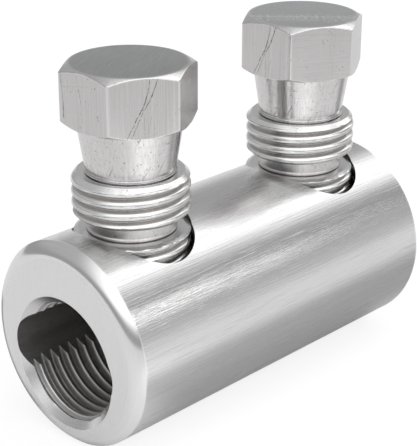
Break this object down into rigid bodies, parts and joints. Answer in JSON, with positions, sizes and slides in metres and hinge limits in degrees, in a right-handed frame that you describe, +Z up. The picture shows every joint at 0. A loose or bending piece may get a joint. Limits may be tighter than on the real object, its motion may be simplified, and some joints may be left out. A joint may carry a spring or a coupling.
{
  "type": "shear bolt connector",
  "caption": "Round metal connector barrel with a blind bore in each end and hexagon-headed shear bolts that break off once they clamp the cable conductors.",
  "frame": {"origin": "middle of the barrel's length and width, on its lowest line", "axes": "+X along the barrel towards its rear end, +Z up along the bolts, +Y across"},
  "size_m": [0.0376, 0.018, 0.0318],
  "materials": {
    "tinned_barrel": "bright tinned aluminium with fine lengthwise streaks",
    "tinned_bolt": "turned and tinned aluminium, drawn flats with light scratches"
  },
  "bodies": {
    "connector_body": {"barrel": "tinned_barrel"},
    "front_bolt": {"front_shear_bolt": "tinned_bolt"},
    "rear_bolt": {"rear_shear_bolt": "tinned_bolt"}
  },
  "joints": [
    {"name": "front_bolt_screw", "type": "slide", "parent": "connector_body", "child": "front_bolt", "axis": [0, 0, -1], "range_m": [-0.004, 0.007]},
    {"name": "rear_bolt_screw", "type": "slide", "parent": "connector_body", "child": "rear_bolt", "axis": [0, 0, -1], "range_m": [-0.004, 0.007]}
  ]
}
